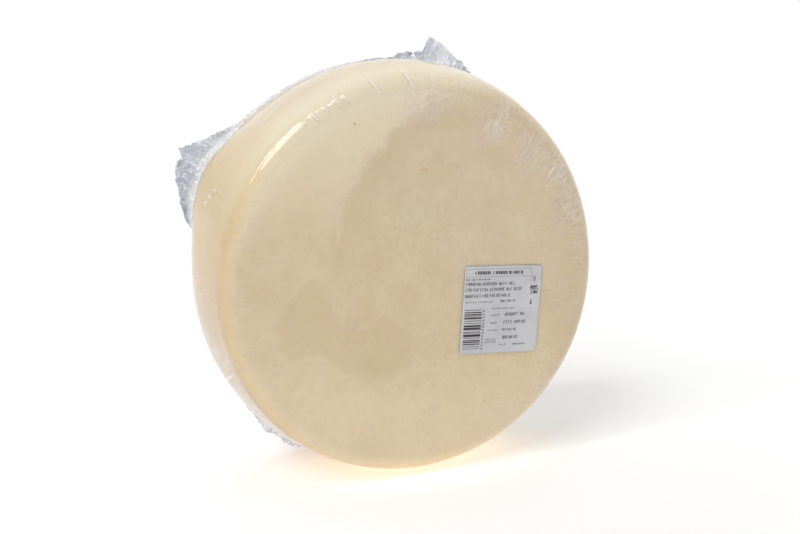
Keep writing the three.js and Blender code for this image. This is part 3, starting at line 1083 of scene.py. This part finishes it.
def room():
    recipe = Recipe("room", bpy.data.worlds.new("room"))
    bpy.context.scene.world = recipe.owner
    towards = recipe.node("ShaderNodeTexCoord", output="Generated")
    settings = {"operation": "DOT_PRODUCT"}
    facing = recipe.node("ShaderNodeVectorMath", settings, {0: towards, 1: BRIGHT_SIDE}, "Value")
    color = recipe.mixed(facing.step(BRIGHT_FROM, BRIGHT_TO), grey(ROOM_DIM), grey(ROOM_BRIGHT))
    rise = recipe.node("ShaderNodeSeparateXYZ", None, {0: towards}, 2)
    color = recipe.mixed(rise.step(HORIZON_LOW, HORIZON_HIGH), grey(ROOM_BRIGHT), color)
    background = recipe.node("ShaderNodeBackground", None, {"Color": color, "Strength": 1.0})
    recipe.ends_in(background, "ShaderNodeOutputWorld")


def direction(azimuth, elevation):
    """Away from the wheel: azimuth 0 is straight in front, and less than 0 is left."""
    turn, rise = math.radians(azimuth), math.radians(elevation)
    flat = math.cos(rise)
    return Vector((math.sin(turn) * flat, -math.cos(turn) * flat, math.sin(rise)))


def sun(name, azimuth, elevation, across, strength):
    towards = direction(azimuth, elevation)
    lamp = bpy.data.lights.new(name, "SUN")
    lamp.angle = math.radians(across)
    lamp.energy = strength
    facing = towards.to_track_quat("Z", "Y").to_matrix().to_4x4()
    added(name, lamp).matrix_world = Matrix.Translation(WHEEL_MIDDLE + towards) @ facing


def suns():
    """The small suns stand on an arc, so that together they are one long soft light."""
    for azimuth, elevation, share in KEY_SUNS:
        sun("key", azimuth, elevation, KEY_SUN_ANGLE, KEY_STRENGTH * share / len(KEY_SUNS))
    sun("main", *MAIN_SUN)


def floor():
    bpy.ops.mesh.primitive_circle_add(vertices=FLOOR_CORNERS, radius=FLOOR_RADIUS, fill_type="NGON")
    made = bpy.context.object
    made.name = "floor"
    recipe = Recipe("pale floor")
    _, (x, y, _) = recipe.place()
    glow = grey(FLOOR_GLOW)
    for (right, back), reach, narrow, shallow, color in FLOOR_GLOWS:
        across, behind = (x - right) * narrow, (y - back) * shallow
        near = ((across * across + behind * behind) ** 0.5).step(reach, reach * GLOW_CORE)
        glow = recipe.mixed(near, glow, (*color, 1), "ADD")
    sockets = {
        "Base Color": grey(FLOOR_WHITE),
        "Roughness": 0.9,
        "Specular IOR Level": 0.1,
        "Emission Color": glow,
        "Emission Strength": 1.0,
    }
    made.data.materials.append(recipe.ends_in(recipe.shader(sockets)))


# The photograph's view, from the wheel's middle.
CAMERA_AZIMUTH, CAMERA_ELEVATION = -22.1, 12.81
CAMERA_BACK, CAMERA_RIGHT, CAMERA_UP = 852.69 * MM, 2.66 * MM, -0.25 * MM
FOCAL_PIXELS, IMAGE_WIDTH, SENSOR = 1113.73, 800, 36


def camera():
    back = direction(CAMERA_AZIMUTH, CAMERA_ELEVATION)
    azimuth = math.radians(CAMERA_AZIMUTH)
    right = Vector((math.cos(azimuth), math.sin(azimuth), 0))
    up = back.cross(right)
    eye = WHEEL_MIDDLE + right * CAMERA_RIGHT + up * CAMERA_UP + back * CAMERA_BACK
    lens = bpy.data.cameras.new("camera")
    lens.sensor_width = SENSOR
    lens.lens = FOCAL_PIXELS / IMAGE_WIDTH * SENSOR
    made = added("camera", lens)
    made.matrix_world = Matrix.Translation(eye) @ Matrix((right, up, back)).transposed().to_4x4()
    bpy.context.scene.camera = made


camera()
room()
suns()
floor()
cheese_body()
film_skin()
sealed_end("film_end_top", TOP_SEAL_EDGE, SEAL_FORWARD_DRIFT)
sealed_end("film_end_bottom", BOTTOM_SEAL_EDGE, 0)
label_paper()
label_print()
bpy.context.scene.view_settings.view_transform = "Standard"
